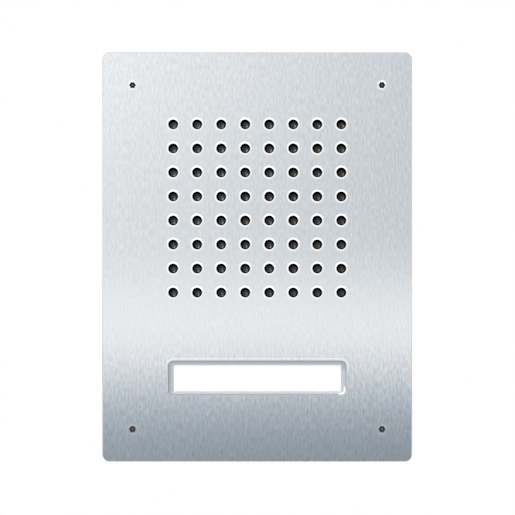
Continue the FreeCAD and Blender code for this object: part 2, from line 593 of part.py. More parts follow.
pan_screw("cover_screws", "mod_back+cover_t", 9.0, "-cover_fix_x", "cover_fix_low", head_d=4.4, head_h=1.6,
          grid_args=(2, "cover_fix_x*2", 2, "cover_fix_top-cover_fix_low"))
pan_screw("board_screws", "board_y+board_t", 6.0, "-board_fix_x", "board_fix_low",
          grid_args=(2, "board_fix_x*2", 2, "board_fix_top-board_fix_low"))

# ----------------------------------------------------------------- loudspeaker, turned about its axis
b = body("speaker_gasket")
spin(b, "ring", [("0", "25.8"), ("0", "spk_r"), ("0.8", "spk_r"), ("0.8", "25.8")], z=SPK, y=WALL)
b = body("speaker_basket")
spin(b, "shell", [("3.9", "25.2"), ("3.9", "28.4"), ("4.9", "28.4"), ("4.9", "26.2"), ("10.5", "17.0"), ("11.8", "17.0"),
                  ("11.8", "8.6"), ("10.8", "8.6"), ("10.8", "15.6"), ("10.0", "16.0"), ("4.5", "25.2")], z=SPK)
axis = sketch(b, "basket_axis", 0.0, 0.0, SPK)
circle(0.5)(axis)
axis.setConstruction(0, True)
f, s = cut(b, "basket_window", circle(7.0), 5.2, 10.9, z="grille_z+21")
around(b, "basket_windows", [f], axis, 6)
b = body("speaker_top_plate")
spin(b, "washer", [("11.8", "7.1"), ("11.8", "15.0"), ("13.3", "15.0"), ("13.3", "7.1")], z=SPK)
b = body("speaker_magnet")
spin(b, "ring", [("13.3", "9.0"), ("13.3", "14.0"), ("17.3", "14.0"), ("17.3", "9.0")], z=SPK)
b = body("speaker_yoke")
spin(b, "pole_and_plate", [("11.8", "0"), ("11.8", "6.0"), ("17.3", "6.0"), ("17.3", "15.0"), ("18.8", "15.0"), ("18.8", "0")], z=SPK)
b = body("voice_coil")
spin(b, "coil", [("8.0", "6.3"), ("8.0", "6.9"), ("13.0", "6.9"), ("13.0", "6.3")], z=SPK)
b = body("speaker_cone")
spin(b, "cone", [("4.3", "20.8"), ("4.8", "20.8"), ("8.7", "6.9"), ("8.1", "6.9")], z=SPK)
spin(b, "dust_cap", [("5.9", "0"), ("6.25", "0"), ("6.6", "4.0"), ("7.7", "7.0"), ("8.1", "8.3"), ("7.73", "8.7"), ("7.3", "7.0"), ("6.2", "4.0")], z=SPK)
b = body("speaker_surround")


def roll(s):
    a1 = Part.Arc(V(4.05, 20.8, 0), V(2.95, 23.0, 0), V(4.05, 25.2, 0))
    a2 = Part.Arc(V(4.45, 25.2, 0), V(3.35, 23.0, 0), V(4.45, 20.8, 0))
    s.addGeometry([a1, Part.LineSegment(V(4.05, 25.2, 0), V(4.45, 25.2, 0)), a2, Part.LineSegment(V(4.45, 20.8, 0), V(4.05, 20.8, 0))], False)


spin(b, "half_roll", None, z=SPK, draw=roll)
b = body("speaker_spider")
spin(b, "disc", [("9.7", "6.9"), ("9.7", "9.0"), ("9.4", "10.2"), ("9.9", "11.6"), ("9.4", "13.0"), ("9.8", "14.2"), ("9.8", "15.5"), ("10.1", "15.5"),
                 ("10.1", "14.2"), ("9.7", "13.0"), ("10.2", "11.6"), ("9.7", "10.2"), ("10.0", "9.0"), ("10.0", "6.9")], z=SPK)
b = body("speaker_terminals")
pad(b, "strip", rrect(12.0, 4.8, 0.6), 11.8, 12.6, z="grille_z-18")
b = body("speaker_clamps")
f, s = pad(b, "clamp", rrect(7.0, 10.5, 1.0), WALL + "+1.8", WALL + "+3.0", z="grille_z+31.65")
cut(b, "clamp_hole", circle(2.6), WALL + "+1.8", WALL + "+3.0", z="grille_z+clamp_r")
axis = sketch(b, "ring_axis", 0.0, WALL, SPK)
circle(0.5)(axis)
axis.setConstruction(0, True)
around(b, "three_clamps", None, axis, 3, whole=True)
pan_screw("clamp_screws", WALL + "+3.0", 4.3, 0.0, "grille_z+clamp_r", polar=SPK)

# ----------------------------------------------------------------- microphone behind the lower right sound hole
b = body("mic_boot")
pad(b, "sleeve", circle("boot_d"), "mod_front", "mod_front+7.1", x=MIC_X, z=MIC_Z)
cut(b, "capsule_room", circle("mic_d+0.1"), "mod_front+1.3", "mod_front+7.1", x=MIC_X, z=MIC_Z)
cut(b, "sound_inlet", circle(2.0), "mod_front", "mod_front+1.3", x=MIC_X, z=MIC_Z)
b = body("mic_capsule")
pad(b, "can", circle("mic_d"), "mod_front+1.3", "mod_front+5.8", x=MIC_X, z=MIC_Z)
cut(b, "inlet", circle(1.6), "mod_front+1.3", "mod_front+1.9", x=MIC_X, z=MIC_Z)

# ----------------------------------------------------------------- circuit board and what it carries
REAR = "board_y+board_t"
b = body("main_board")
pad(b, "laminate", rrect("board_w", "board_h", 1.0), "board_y", REAR, z="board_z")
f, s = cut(b, "board_hole", circle(2.6), "board_y", REAR, x="-board_fix_x", z="board_fix_low")
grid(b, "board_holes", [f], s, 2, "board_fix_x*2", 2, "board_fix_top-board_fix_low")

b = body("terminal_block")
pad(b, "block", rect("pole_pitch*poles", "term_d"), REAR, REAR + "+term_h", z="term_z")
f, s = side_cut(b, "wire_entry", rrect(3.6, 3.2, 0.4), "XY_Plane", "-pole_pitch*3.5", REAR + "+3", "term_z-term_d/2", 6.5, other_way=True)
grid(b, "wire_entries", [f], s, 8, "pole_pitch*7", 1, 0)
f, s = cut(b, "screw_shaft", circle(3.3), REAR + "+4.4", REAR + "+term_h", x="-pole_pitch*3.5", z="term_z")
grid(b, "screw_shafts", [f], s, 8, "pole_pitch*7", 1, 0)
b = body("terminal_screws")
f, s = pad(b, "screw", circle(3.0), REAR + "+4.8", REAR + "+9.0", x="-pole_pitch*3.5", z="term_z")
cut(b, "slot", rect(3.2, 0.6), REAR + "+8.2", REAR + "+9.0", x="-pole_pitch*3.5", z="term_z")
grid(b, "eight_screws", None, s, 8, "pole_pitch*7", 1, 0, whole=True)
b = body("terminal_clamps")
f, s = pad(b, "plate", rect(3.0, 4.5), REAR + "+1.45", REAR + "+1.95", x="-pole_pitch*3.5", z="term_z-1")
grid(b, "eight_plates", None, s, 8, "pole_pitch*7", 1, 0, whole=True)

for name, xpos in (("volume", "vol_x"), ("mic_gain", "gain_x")):
    b = body(name + "_trimmer")
    pad(b, "case", rrect(9.0, 9.0, 0.5), REAR, REAR + "+4.6", x=xpos, z="trim_z")
    cut(b, "rotor_room", circle(6.2), REAR + "+2.4", REAR + "+4.6", x=xpos, z="trim_z")
    b = body(name + "_rotor")
    pad(b, "disc", circle(6.06), REAR + "+2.6", REAR + "+4.8", x=xpos, z="trim_z")
    pad(b, "stem", circle(3.6), REAR + "+4.8", "mod_back+cover_t-0.4", x=xpos, z="trim_z")
    cut(b, "slot", rect(0.7, 4.0), "mod_back+cover_t-1.3", "mod_back+cover_t-0.4", x=xpos, z="trim_z")

b = body("relay")
pad(b, "case", rrect(15.0, 10.0, 0.5), REAR, REAR + "+7", x=20.0, z=-31.0)
round_edges(b, "case_edge", 0.4, lambda e: in_plane_y(e, num(REAR) + 7))
b = body("line_transformer")
pad(b, "bobbin", rrect(12.5, 11.0, 0.8), REAR, REAR + "+1.4", x=3.4, z=-32.5)
pad(b, "winding", rrect(9.5, 10.0, 1.5), REAR + "+1.4", REAR + "+5.6", x=3.4, z=-32.5)
pad(b, "core", rrect(12.5, 7.0, 0.5), REAR + "+1.4", REAR + "+6.8", x=3.4, z=-32.5)

# electrolytic capacitors of two sizes, each a can with a rounded rim
cans = []
for i, (cx, cz, dia, high) in enumerate(((-26.5, -41.2, 5.0, 6.6), (-19.5, -41.2, 5.0, 6.6), (-12.0, -40.9, 6.3, 7.0), (30.0, -37.0, 5.0, 6.6))):
    cyl = doc.addObject("Part::Cylinder", "can%d" % i)
    cyl.Radius = dia / 2
    cyl.Height = high
    cyl.Placement = FreeCAD.Placement(V(cx, num(REAR), cz), FreeCAD.Rotation(V(1, 0, 0), -90))
    bind(cyl, "Placement.Base.y", REAR)
    doc.recompute()
    fil = doc.addObject("Part::Fillet", "can_rim%d" % i)
    fil.Base = cyl
    fil.Edges = [(k + 1, 0.4, 0.4) for k, e in enumerate(cyl.Shape.Edges) if in_plane_y(e, num(REAR) + high)]
    cans.append(fil)
group = doc.addObject("Part::Compound", "capacitors")
group.Label = "capacitors"
group.Links = cans
bodies.append(group)

chips = []
for i, (cx, cz, w, h, t) in enumerate(((3.5, -42.0, 10.0, 3.9, 1.5), (17.0, -41.0, 5.0, 5.0, 1.0))):
    box = doc.addObject("Part::Box", "chip%d" % i)
    box.Length, box.Width, box.Height = w, t, h
    box.Placement = FreeCAD.Placement(V(cx - w / 2, num(REAR), cz - h / 2), FreeCAD.Rotation())
    bind(box, "Placement.Base.y", REAR)
    chips.append(box)
group = doc.addObject("Part::Compound", "ic_chips")
group.Label = "ic_chips"
group.Links = chips
bodies.append(group)

b = body("label_leds")
dome = [("board_y", "0"), ("board_y", "1.9"), ("board_y-1", "1.9"), ("board_y-1", "1.5"), ("board_y-3.3", "1.5"),
        ("board_y-4.1", "1.2"), ("board_y-4.5", "0.6"), ("board_y-4.6", "0")]
f, s = spin(b, "led_a", dome, x=-30.0, z="win_z")
f2, s2_ = spin(b, "led_b", dome, x=-10.0, z="win_z")
axis = sketch(b, "led_axis", -30.0, 0.0, "win_z")
circle(0.5)(axis)
axis.setConstruction(0, True)
# two pairs of lamps, 20 mm apart, repeated 40 mm to the right
grid(b, "four_leds", None, axis, 2, 40.0, 1, 0, whole=True)

b = body("lead_connectors")
f, s = pad(b, "header", rrect(7.4, 4.0, 0.4), REAR, REAR + "+4.6", x=-0.5, z=-23.2)
grid(b, "two_headers", None, s, 2, 8.5, 1, 0, whole=True)


# ----------------------------------------------------------------- inner leads: straight runs joined by tangent arcs
def lead(points, dia):
    edges, at = [], V(*points[0])
    for i in range(1, len(points) - 1):
        p, a, c = V(*points[i]), V(*points[i - 1]), V(*points[i + 1])
        u, w = (a - p).normalize(), (c - p).normalize()
        turn = math.pi - u.getAngle(w)
        r = 0.45 * min((a - p).Length, (c - p).Length) / math.tan(turn / 2)
        r = min(r, 8.0)
        t = r * math.tan(turn / 2)
        p1, p2 = p + u * t, p + w * t
        mid_dir = (u + w).normalize()
        centre = p + mid_dir * (r / math.cos(turn / 2))
        mid = centre - mid_dir * r
        edges.append(Part.LineSegment(at, p1).toShape())
        edges.append(Part.Arc(p1, mid, p2).toShape())
        print("lead radius %.2f mm" % r)
        at = p2
    edges.append(Part.LineSegment(at, V(*points[-1])).toShape())
    wire = Part.Wire(edges)
    d0 = (V(*points[1]) - V(*points[0])).normalize()
    prof = Part.Wire([Part.Circle(V(*points[0]), d0, dia / 2).toShape()])
    tube = wire.makePipeShell([prof], True, False)
    want = math.pi * dia * dia / 4 * wire.Length
    if abs(tube.Volume - want) > 0.02 * want:
        raise RuntimeError("lead volume %.2f, wanted %.2f" % (tube.Volume, want))
    return tube


g = D["grille_z"]
rear = num(REAR)
mx, mz = num(MIC_X), num(MIC_Z)
for label, tubes in (
    ("speaker_leads", [lead([(sx, 12.6, g - 18.6), (sx, rear + 2.3, g - 18.6), (sx, rear + 2.3, -21.2)], 1.1) for sx in (-2.2, 1.2)]),
    ("mic_leads", [lead([(mx, D["mod_front"] + 5.8, mz + o), (mx, rear + 2.3, mz + o), (ex, rear + 2.3, mz + o), (ex, rear + 2.3, -21.2)], 0.9)
                   for o, ex in ((1.0, 6.9), (-1.0, 9.2))]),
):
    o = doc.addObject("Part::Feature", label)
    o.Label = label
    o.Shape = Part.makeCompound(tubes)
    o.Placement = FreeCAD.Placement()
    bodies.append(o)

# ----------------------------------------------------------------- flush box in the wall
b = body("back_box")
pad(b, "box_block", rrect("box_w", "box_h", "box_r"), 0.0, "box_d")
pad(b, "rib_front", rrect("box_w+4", "box_h+4", "box_r+2"), 8.0, 10.0)
pad(b, "rib_rear", rrect("box_w+4", "box_h+4", "box_r+2"), 38.0, 40.0)
# short ribs between the two rings, clear of the knock-outs
f, s = pad(b, "side_rib_outer", rect(2.6, 1.5), 9.0, 39.0, x="-box_w/2-0.7", z=-60.0)
grid(b, "side_ribs_outer", [f], s, 2, "box_w+1.4", 2, 120.0)
f, s = pad(b, "side_rib_inner", rect(2.6, 1.5), 9.0, 39.0, x="-box_w/2-0.7", z=-22.0)
grid(b, "side_ribs_inner", [f], s, 2, "box_w+1.4", 2, 44.0)
f, s = pad(b, "top_rib", rect(1.5, 2.6), 9.0, 39.0, x=-46.0, z="box_h/2+0.7")
grid(b, "top_ribs", [f], s, 3, 92.0, 1, 0)
f, s = pad(b, "low_rib", rect(1.5, 2.6), 9.0, 39.0, x=-18.0, z="-box_h/2-0.7")
grid(b, "low_ribs", [f], s, 2, 36.0, 1, 0)
f, s = pad(b, "low_rib_outer", rect(1.5, 2.6), 9.0, 39.0, x=-51.5, z="-box_h/2-0.7")
grid(b, "low_ribs_outer", [f], s, 2, 103.0, 1, 0)
cut(b, "box_room", rrect("box_w-box_wall*2", "box_h-box_wall*2", "box_r-box_wall"), 0.0, "box_d-box_wall")
f, s = pad(b, "post", circle("post_d"), 1.0, "box_d-box_wall", x="-fix_w/2", z="-fix_h/2")
grid(b, "posts", [f], s, 2, "fix_w", 2, "fix_h")
f, s = cut(b, "insert_seat", circle("insert_d"), 1.0, "insert_len+1.2", x="-fix_w/2", z="-fix_h/2")
f2, s2_ = cut(b, "screw_room", circle(3.4), "insert_len+1.2", 16.0, x="-fix_w/2", z="-fix_h/2")
grid(b, "insert_seats", [f, f2], s, 2, "fix_w", 2, "fix_h")
f, s = cut(b, "wall_fixing", circle("wallfix_d"), "box_d-box_wall", "box_d", x="-wallfix_w/2", z="-wallfix_h/2")
grid(b, "wall_fixings", [f], s, 2, "wallfix_w", 2, "wallfix_h")
side_cut(b, "cable_entry", circle("entry_d"), "XY_Plane", 0.0, "entry_y", "-box_h/2", "box_wall", other_way=True)
ring = both(circle("entry_d+0.8"), circle("entry_d-0.8"))
f, s = side_cut(b, "knockout_low", ring, "XY_Plane", -36.0, "entry_y", "-box_h/2", 1.2, other_way=True)
grid(b, "knockouts_low", [f], s, 2, 72.0, 1, 0)
f, s = side_cut(b, "knockout_top", ring, "XY_Plane", -24.0, "entry_y", "box_h/2", 1.2)
grid(b, "knockouts_top", [f], s, 2, 48.0, 1, 0)
side_cut(b, "knockout_right", ring, "YZ_Plane", "box_w/2", "entry_y", 0.0, 1.2)
side_cut(b, "knockout_left", ring, "YZ_Plane", "-box_w/2", "entry_y", 0.0, 1.2, other_way=True)
s = sketch(b, "knockout_back_sketch", 0.0, "box_d", -25.0)
ring(s)
f = b.newObject("PartDesign::Pocket", "knockout_back")
f.Profile = s
f.Reversed = True
f.Length = 1.2
b.Tip = f
doc.recompute()
grid(b, "knockouts_back", [f], s, 1, 0.0, 2, 50.0)
round_edges(b, "box_back_edge", 1.0, lambda e: in_plane_y(e, D["box_d"]) and (abs(e.CenterOfMass.x) > D["box_w"] / 2 - 3 or abs(e.CenterOfMass.z) > D["box_h"] / 2 - 3))

b = body("post_inserts")
f, s = pad(b, "insert", circle("insert_d-0.02"), 1.0, "insert_len+1", x="-fix_w/2", z="-fix_h/2")
cut(b, "thread_bore", circle("screw_d+0.1"), 1.0, "insert_len+1", x="-fix_w/2", z="-fix_h/2")
grid(b, "four_inserts", None, s, 2, "fix_w", 2, "fix_h", whole=True)

# ----------------------------------------------------------------- checks, then the files
doc.recompute()
bad = [o.Name + " " + ",".join(o.State) for o in doc.Objects if "Invalid" in o.State or "Error" in o.State]
for o in bodies:
    if o.Shape.isNull() or not o.Shape.isValid() or not o.Shape.Solids:
        bad.append(o.Label + " has no valid shape")
labels = [o.Label for o in bodies]
for name in sorted(set(labels)):
    if labels.count(name) > 1:
        bad.append("two pieces named " + name)
if bad:
    print("\n".join(bad))
    sys.exit("the model has %d faults" % len(bad))
os.makedirs("parts", exist_ok=True)
keep = {o.Label + ".step" for o in bodies}
for old in os.listdir("parts"):
    if old.endswith(".step") and old not in keep:
        os.remove(os.path.join("parts", old))
for o in bodies:
    bb = o.Shape.BoundBox
    print("%-22s %2d solid(s) %9.1f mm3  X %.2f..%.2f Y %.2f..%.2f Z %.2f..%.2f" % (
        o.Label, len(o.Shape.Solids), o.Shape.Volume, bb.XMin, bb.XMax, bb.YMin, bb.YMax, bb.ZMin, bb.ZMax))
    o.Shape.exportStep("parts/%s.step" % o.Label)
print("%d pieces" % len(bodies))
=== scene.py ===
import bpy
import bmesh
import json
import math
from mathutils import Matrix, Vector


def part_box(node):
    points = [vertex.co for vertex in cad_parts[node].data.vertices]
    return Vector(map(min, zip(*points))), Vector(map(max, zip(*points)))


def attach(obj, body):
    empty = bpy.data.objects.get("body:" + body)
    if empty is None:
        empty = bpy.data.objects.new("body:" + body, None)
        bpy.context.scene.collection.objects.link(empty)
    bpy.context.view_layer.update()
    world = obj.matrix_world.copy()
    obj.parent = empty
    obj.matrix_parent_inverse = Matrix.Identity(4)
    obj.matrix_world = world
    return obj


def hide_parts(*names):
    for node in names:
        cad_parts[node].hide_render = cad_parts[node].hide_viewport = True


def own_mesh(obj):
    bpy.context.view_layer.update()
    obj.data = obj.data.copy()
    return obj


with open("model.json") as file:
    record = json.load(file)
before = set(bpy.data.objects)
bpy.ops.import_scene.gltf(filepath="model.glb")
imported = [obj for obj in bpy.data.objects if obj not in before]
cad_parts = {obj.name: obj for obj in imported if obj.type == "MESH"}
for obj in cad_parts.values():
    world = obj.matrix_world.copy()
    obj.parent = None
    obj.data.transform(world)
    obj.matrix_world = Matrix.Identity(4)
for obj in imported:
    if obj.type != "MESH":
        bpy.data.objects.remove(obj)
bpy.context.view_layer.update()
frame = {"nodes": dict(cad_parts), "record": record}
NODES = frame["nodes"]
MM = 0.001

# ------------------------------------------------------------------ camera, at the photograph's angle
DIST = 0.60                    # from the plate's face
FRAME_W = 0.2260               # width that the picture covers at the plate's face
FACE_Y = -0.003
cam_data = bpy.data.cameras.new("camera")
cam_data.sensor_fit = "HORIZONTAL"
cam_data.sensor_width = 36.0
cam_data.lens = 36.0 * DIST / FRAME_W
cam_data.clip_start, cam_data.clip_end = 0.01, 50.0
camera = bpy.data.objects.new("camera", cam_data)
bpy.context.scene.collection.objects.link(camera)
camera.location = (0.00012, FACE_Y - DIST, -0.00016)
camera.rotation_euler = (math.radians(90.0), 0.0, 0.0)
bpy.context.scene.camera = camera
bpy.context.scene.view_settings.view_transform = "Standard"
bpy.context.scene.view_settings.look = "None"


# ------------------------------------------------------------------ node helpers
class Tree:
    """Short calls for a node tree. A value may be a number, a colour or another node's output."""

    def __init__(self, nt):
        self.nt = nt

    def put(self, socket, value):
        if isinstance(value, bpy.types.NodeSocket):
            self.nt.links.new(value, socket)
        elif value is not None:
            if isinstance(value, (tuple, list)) and len(value) == 3 and socket.type == "RGBA":
                value = (*value, 1.0)
            socket.default_value = value

    def node(self, kind, **sockets):
        n = self.nt.nodes.new(kind)
        for k, v in sockets.items():
            self.put(n.inputs[k.replace("_", " ")], v)
        return n

    def math(self, op, a, b=None, c=None, clamp=False):
        n = self.nt.nodes.new("ShaderNodeMath")
        n.operation = op
        n.use_clamp = clamp
        for i, v in enumerate((a, b, c)):
            self.put(n.inputs[i], v)
        return n.outputs[0]

    def add(self, a, b):
        return self.math("ADD", a, b)

    def sub(self, a, b):
        return self.math("SUBTRACT", a, b)

    def mul(self, a, b):
        return self.math("MULTIPLY", a, b)

    def vec(self, x, y, z):
        n = self.nt.nodes.new("ShaderNodeCombineXYZ")
        for i, v in enumerate((x, y, z)):
            self.put(n.inputs[i], v)
        return n.outputs[0]

    def split(self, v):
        n = self.nt.nodes.new("ShaderNodeSeparateXYZ")
        self.put(n.inputs[0], v)
        return n.outputs[0], n.outputs[1], n.outputs[2]

    def vmath(self, op, a, b=None):
        n = self.nt.nodes.new("ShaderNodeVectorMath")
        n.operation = op
        self.put(n.inputs[0], a)
        if b is not None:
            self.put(n.inputs[1], b)
        return n.outputs["Value"] if op in ("LENGTH", "DOT_PRODUCT", "DISTANCE") else n.outputs[0]

    def step(self, v, lo, hi, to_lo=0.0, to_hi=1.0, kind="SMOOTHSTEP"):
        n = self.nt.nodes.new("ShaderNodeMapRange")
        n.interpolation_type = kind
        for k, x in (("Value", v), ("From Min", lo), ("From Max", hi), ("To Min", to_lo), ("To Max", to_hi)):
            self.put(n.inputs[k], x)
        return n.outputs[0]

    def mix(self, f, a, b, blend="MIX"):
        n = self.nt.nodes.new("ShaderNodeMix")
        n.data_type = "RGBA"
        n.blend_type = blend
        self.put(n.inputs["Factor"], f)
        self.put(n.inputs[6], a)
        self.put(n.inputs[7], b)
        return n.outputs[2]

    def ramp(self, f, stops, kind="LINEAR"):
        n = self.nt.nodes.new("ShaderNodeValToRGB")
        n.color_ramp.interpolation = kind
        e = n.color_ramp.elements
        while len(e) > 1:
            e.remove(e[-1])
        for i, (p, c) in enumerate(stops):
            s = e[0] if i == 0 else e.new(p)
            s.position = p
            c = (c, c, c) if isinstance(c, (int, float)) else c
            s.color = (*c, 1.0)
        self.put(n.inputs[0], f)
        return n.outputs[0]

    def noise(self, v, scale=1.0, detail=2.0, rough=0.5, distort=0.0):
        n = self.nt.nodes.new("ShaderNodeTexNoise")
        self.put(n.inputs["Vector"], v)
        for k, x in (("Scale", scale), ("Detail", detail), ("Roughness", rough), ("Distortion", distort)):
            self.put(n.inputs[k], x)
        return n.outputs[0]

    def voronoi(self, v, scale=1.0, feature="F1", out="Distance", random=1.0):
        n = self.nt.nodes.new("ShaderNodeTexVoronoi")
        n.feature = feature
        self.put(n.inputs["Vector"], v)
        self.put(n.inputs["Scale"], scale)
        self.put(n.inputs["Randomness"], random)
        return n.outputs[out]

    def wave(self, v, scale, axis="X", distort=0.0, profile="SIN", detail=0.0):
        n = self.nt.nodes.new("ShaderNodeTexWave")
        n.bands_direction = axis
        n.wave_profile = profile
        self.put(n.inputs["Vector"], v)
        self.put(n.inputs["Scale"], scale)
        self.put(n.inputs["Distortion"], distort)
        self.put(n.inputs["Detail"], detail)
        return n.outputs[1]

    def bump(self, height, depth, strength=1.0, normal=None):
        """depth is the height in metres that the value 1 stands for."""
        n = self.nt.nodes.new("ShaderNodeBump")
        self.put(n.inputs["Strength"], strength)
        self.put(n.inputs["Distance"], depth)
        self.put(n.inputs["Height"], height)
        if normal is not None:
            self.put(n.inputs["Normal"], normal)
        return n.outputs[0]

    def scaled(self, v, sx, sy, sz):
        return self.vmath("MULTIPLY", v, (sx, sy, sz))


class Material(Tree):
    def __init__(self, name, **const):
        self.m = bpy.data.materials.new(name)
        self.m.use_nodes = True
        super().__init__(self.m.node_tree)
        self.p = next(n for n in self.nt.nodes if n.type == "BSDF_PRINCIPLED")
        self.set(**const)
        self.here = self.nt.nodes.new("ShaderNodeTexCoord").outputs["Object"]

    def set(self, **sockets):
        for k, v in sockets.items():
            self.put(self.p.inputs[k.replace("_", " ")], v)
        return self

    def normal(self):
        return self.nt.nodes.new("ShaderNodeTexCoord").outputs["Normal"]


def shades(c, k):
    """A colour and a scaled one beside it."""
    return tuple(min(1.0, x * k) for x in c)


def plastic(name, colour, rough=0.45, grain=0.35, depth=6e-6, spread=0.06, coat=0.0, sheen=0.0):
    """Moulded plastic: an eroded tool texture, slight flow marks and small changes of gloss."""
    t = Material(name, Specular_IOR_Level=0.5)
    if coat:
        t.set(Coat_Weight=coat, Coat_Roughness=0.12)
    fine = t.noise(t.here, 1.0 / (grain * MM), 3.0, 0.62)
    wide = t.noise(t.here, 38.0, 3.0, 0.55, 0.6)
    t.set(Base_Color=t.mix(t.step(wide, 0.3, 0.7), shades(colour, 1 - spread), shades(colour, 1 + spread)),
          Roughness=t.step(t.add(t.mul(fine, 0.6), t.mul(wide, 0.4)), 0.3, 0.7, rough - 0.05, rough + 0.07),
          Normal=t.bump(fine, depth))
    return t.m


def metal(name, colour, rough=0.35, grain=0.8, depth=3e-6, spread=0.08, tint=None):
    """Plated or bare metal: cloudy plating with fine pits."""
    t = Material(name, Metallic=1.0)
    cloud = t.noise(t.here, 260.0, 4.0, 0.6, 0.8)
    fine = t.noise(t.here, 1.0 / (grain * 0.3 * MM), 3.0, 0.6)
    base = t.mix(t.step(cloud, 0.32, 0.68), shades(colour, 1 - spread), tint or shades(colour, 1 + spread))
    t.set(Base_Color=base, Roughness=t.step(cloud, 0.3, 0.7, rough - 0.08, rough + 0.08), Normal=t.bump(fine, depth))
    return t.m


def rubber(name, colour, rough=0.72, grain=0.25, depth=1.2e-5):
    t = Material(name, Specular_IOR_Level=0.35)
    fine = t.noise(t.here, 1.0 / (grain * MM), 4.0, 0.65)
    wide = t.noise(t.here, 55.0, 2.0, 0.5)
    t.set(Base_Color=t.mix(t.step(wide, 0.3, 0.7), shades(colour, 0.88), shades(colour, 1.15)),
          Roughness=t.step(fine, 0.3, 0.7, rough - 0.06, rough + 0.08), Normal=t.bump(fine, depth))
    return t.m


# ------------------------------------------------------------------ brushed stainless plate
GRAIN = 1.0                    # strength of the grinding marks


def outside(t, x, z, half_w, half_h, r):
    """Distance outside a rounded rectangle round the window's middle; negative inside it."""
    qx = t.math("MAXIMUM", t.sub(t.math("ABSOLUTE", x), half_w - r), 0.0)
    qz = t.math("MAXIMUM", t.sub(t.math("ABSOLUTE", t.add(z, 0.053)), half_h - r), 0.0)
    return t.sub(t.math("SQRT", t.add(t.mul(qx, qx), t.mul(qz, qz))), r)


def brushed_plate():
    t = Material("plate_brushed_steel", Metallic=1.0, Anisotropic=0.9, Anisotropic_Rotation=0.0)
    x, y, z = t.split(t.here)
    # short wavy grinding marks that run up and down, over broad faint bands
    bend = t.mul(t.sub(t.noise(t.here, 150.0, 2.0), 0.5), 0.0016)
    u = t.add(x, bend)
    hair = t.noise(t.scaled(t.vec(u, 0.0, z), 1250.0, 1.0, 330.0), 1.0, 1.0, 0.50)
    band = t.noise(t.scaled(t.vec(x, 3.0, z), 210.0, 1.0, 30.0), 1.0, 2.0, 0.5)
    streak = t.add(t.mul(hair, 0.88), t.mul(band, 0.12))
    nx, ny, nz = t.split(t.normal())
    flat = t.step(t.math("ABSOLUTE", ny), 0.90, 0.985)
    # the marks are coarsest along the bottom and finest under the field of holes
    amp = t.ramp(t.step(z, -0.09, 0.09, 0.0, 1.0, "LINEAR"), [(0.0, 1.0), (0.15, 0.85), (0.24, 0.40), (0.30, 0.14), (0.40, 0.14), (0.55, 0.38), (1.0, 0.38)])
    amp = t.mul(amp, t.step(x, -0.068, 0.068, 0.85, 1.2, "LINEAR"))
    ground = t.mul(t.sub(streak, 0.5), amp)
    mark = t.math("ADD", t.mul(ground, GRAIN * 2.0), 0.5, clamp=True)
    face = t.mix(mark, (0.550, 0.560, 0.569), (0.955, 0.970, 0.985))
    # a thin bright line is painted on the face just above the window's upper edge: a painted highlight
    edge = outside(t, x, z, 0.0390, 0.0076, 0.0022)
    painted_highlight_line = t.mul(t.mul(t.step(edge, 0.00058, 0.00072), t.step(edge, 0.00116, 0.00102)), t.step(z, -0.0505, -0.0480))
    face = t.mix(t.mul(painted_highlight_line, 0.85), face, (0.955, 0.970, 0.985))
    # the chamfers of the sound holes are polished and their punched walls are not. The ground outer edges are duller
    # than the face and painted darker towards the bottom, as painted shade; the window's lip is painted as light and
    # shade, brightest along its top, less bright along its bottom and right side, darkest down its left side
    in_field = t.mul(t.step(t.math("ABSOLUTE", x), 0.0415, 0.0405), t.step(t.math("ABSOLUTE", t.sub(z, 0.0214)), 0.0415, 0.0405))
    hole = t.mix(t.step(y, -0.00259, -0.00256), (0.985, 0.99, 0.995), (0.16, 0.16, 0.165))
    at_window = t.mul(t.step(t.math("ABSOLUTE", x), 0.0450, 0.0440), t.step(t.math("ABSOLUTE", t.add(z, 0.053)), 0.0120, 0.0110))
    # painted light and shade on the window's lip: darkest down its left side, brightest along its top
    side = t.mix(t.step(x, -0.01, 0.01), (0.66, 0.68, 0.70), (0.90, 0.93, 0.96))
    window = t.mix(t.step(z, -0.0470, -0.0460), t.mix(t.step(z, -0.0590, -0.0600), side, (0.90, 0.93, 0.96)), (0.98, 0.99, 1.0))
    # painted shade: the outer edges are painted darker towards the bottom
    outer_edge_dull_and_shade = t.mix(t.step(z, -0.02, -0.05), (0.72, 0.73, 0.745), (0.52, 0.53, 0.545))
    outer_edge_dull_and_shade = t.mix(t.step(z, -0.0888, -0.0892), outer_edge_dull_and_shade, (0.60, 0.60, 0.61))
    lip = t.mix(in_field, t.mix(at_window, outer_edge_dull_and_shade, window), hole)
    rough = t.sub(0.19, t.mul(ground, 0.15))
    t.set(Base_Color=t.mix(flat, lip, face),
          Roughness=t.add(t.mul(flat, t.sub(rough, 0.24)), 0.24),
          Normal=t.bump(t.mul(ground, flat), 0.4e-6),
          Tangent=t.vec(1.0, 0.0, 0.0))
    return t.m


